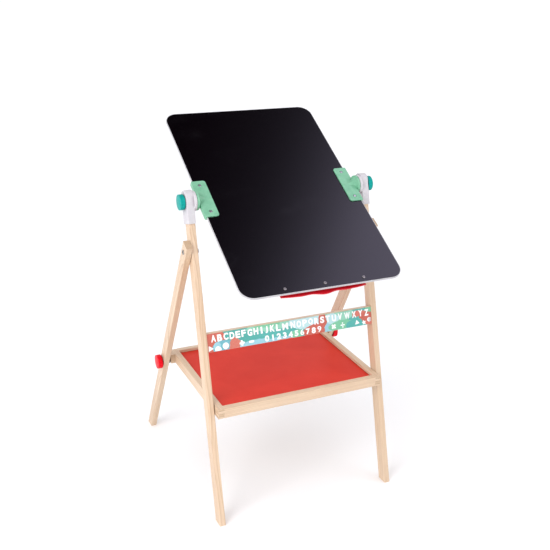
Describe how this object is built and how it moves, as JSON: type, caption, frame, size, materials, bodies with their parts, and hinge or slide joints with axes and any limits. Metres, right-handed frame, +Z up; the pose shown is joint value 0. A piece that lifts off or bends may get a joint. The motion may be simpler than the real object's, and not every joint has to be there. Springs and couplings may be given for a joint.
{
  "type": "flip chart easel",
  "caption": "Folding wooden easel with a tilting double-sided board between two front legs, hinged rear legs, a storage tray and clamp knobs.",
  "frame": {"origin": "on the floor, at the middle of the easel's overall width and depth at rest", "axes": "+X to the easel's right as seen from its front, +Y from the front legs to the rear legs, +Z up"},
  "size_m": [0.5334, 0.5834, 0.8942],
  "materials": {
    "pine": "planed pine bar, clear lacquer, eased edges",
    "pine_dowel": "fluted beech dowel, glued",
    "fibreboard": "medium density fibreboard core",
    "red_panel": "hardboard with a satin red plastic film",
    "chalkboard_black": "satin black chalkboard coating on thin sheet steel",
    "whiteboard_white": "gloss white dry-wipe coating on thin sheet steel",
    "band_grey": "pale grey plastic edge band",
    "mint_plastic": "moulded mint green plastic, satin",
    "white_plastic": "moulded white plastic, satin",
    "teal_plastic": "moulded teal plastic, semi gloss",
    "red_plastic": "moulded red plastic, semi gloss",
    "clip_red": "moulded red plastic, semi gloss",
    "collar_black": "moulded dark plastic",
    "washer_nylon": "natural nylon",
    "strip_print": "printed colour panel, satin",
    "zinc_steel": "zinc plated steel",
    "spring_steel": "spring steel wire",
    "brass_insert": "knurled brass"
  },
  "bodies": {
    "front_frame": {"front_left_leg": "pine", "front_right_leg": "pine", "crossbar": "pine", "crossbar_dowels": "pine_dowel", "alphabet_panel": "strip_print", "left_post_cap": "white_plastic", "right_post_cap": "white_plastic", "hinge_bolts": "zinc_steel", "hinge_nuts": "zinc_steel", "hinge_washers": "washer_nylon", "tray_pivot_bolts": "zinc_steel", "tray_pivot_inserts": "brass_insert", "tray_pivot_washers": "washer_nylon"},
    "board": {"board_core": "fibreboard", "chalkboard_face": "chalkboard_black", "whiteboard_face": "whiteboard_white", "board_edge_band": "band_grey", "left_board_bracket": "mint_plastic", "right_board_bracket": "mint_plastic", "bracket_screws": "zinc_steel", "bracket_nuts": "zinc_steel", "left_pivot_bolt": "zinc_steel", "right_pivot_bolt": "zinc_steel", "clip_base": "clip_red", "clip_screws": "zinc_steel", "clip_pin": "zinc_steel", "clip_springs": "spring_steel"},
    "paper_clip_lever": {"clip_lever": "clip_red"},
    "left_teal_clamp": {"left_teal_knob": "teal_plastic", "left_teal_knob_insert": "brass_insert"},
    "right_teal_clamp": {"right_teal_knob": "teal_plastic", "right_teal_knob_insert": "brass_insert"},
    "tray": {"tray_front_rail": "pine", "tray_back_rail": "pine", "tray_left_rail": "pine", "tray_right_rail": "pine", "tray_left_block": "pine", "tray_right_block": "pine", "tray_panel": "red_panel", "back_rail_dowels": "pine_dowel"},
    "left_rear_leg": {"rear_left_leg": "pine", "left_leg_collar": "collar_black", "left_knob_washer": "zinc_steel"},
    "right_rear_leg": {"rear_right_leg": "pine", "right_leg_collar": "collar_black", "right_knob_washer": "zinc_steel"},
    "left_red_clamp": {"left_red_knob": "red_plastic", "left_knob_stud": "zinc_steel"},
    "right_red_clamp": {"right_red_knob": "red_plastic", "right_knob_stud": "zinc_steel"}
  },
  "joints": [
    {"name": "board_flip", "type": "hinge", "parent": "front_frame", "child": "board", "pos_m": [0, -0.03068, 0.742], "axis": [1, 0, 0], "continuous": true},
    {"name": "left_teal_knob_turn", "type": "hinge", "parent": "front_frame", "child": "left_teal_clamp", "pos_m": [-0.245, -0.03068, 0.742], "axis": [-1, 0, 0], "continuous": true},
    {"name": "right_teal_knob_turn", "type": "hinge", "parent": "front_frame", "child": "right_teal_clamp", "pos_m": [0.245, -0.03068, 0.742], "axis": [1, 0, 0], "continuous": true},
    {"name": "tray_fold", "type": "hinge", "parent": "front_frame", "child": "tray", "pos_m": [0, -0.15836, 0.2655], "axis": [1, 0, 0], "range_deg": [0, 62]},
    {"name": "left_rear_leg_fold", "type": "hinge", "parent": "front_frame", "child": "left_rear_leg", "pos_m": [-0.2435, -0.06015, 0.632], "axis": [-1, 0, 0], "range_deg": [0, 39.5]},
    {"name": "right_rear_leg_fold", "type": "hinge", "parent": "front_frame", "child": "right_rear_leg", "pos_m": [0.2435, -0.06015, 0.632], "axis": [-1, 0, 0], "range_deg": [0, 39.5]},
    {"name": "left_red_knob_turn", "type": "hinge", "parent": "left_rear_leg", "child": "left_red_clamp", "pos_m": [-0.258, 0.13472, 0.2655], "axis": [-1, 0, 0], "continuous": true},
    {"name": "right_red_knob_turn", "type": "hinge", "parent": "right_rear_leg", "child": "right_red_clamp", "pos_m": [0.258, 0.13472, 0.2655], "axis": [1, 0, 0], "continuous": true},
    {"name": "paper_clip_press", "type": "hinge", "parent": "board", "child": "paper_clip_lever", "pos_m": [0, -0.26828, 0.59154], "axis": [-1, 0, 0], "range_deg": [0, 18], "stiffness_Nm_per_rad": 0.6, "springref_deg": -20.05}
  ],
  "couplings": [
    {"joint": "left_rear_leg_fold", "follows": "tray_fold", "ratio": 0.6371},
    {"joint": "right_rear_leg_fold", "follows": "tray_fold", "ratio": 0.6371}
  ]
}
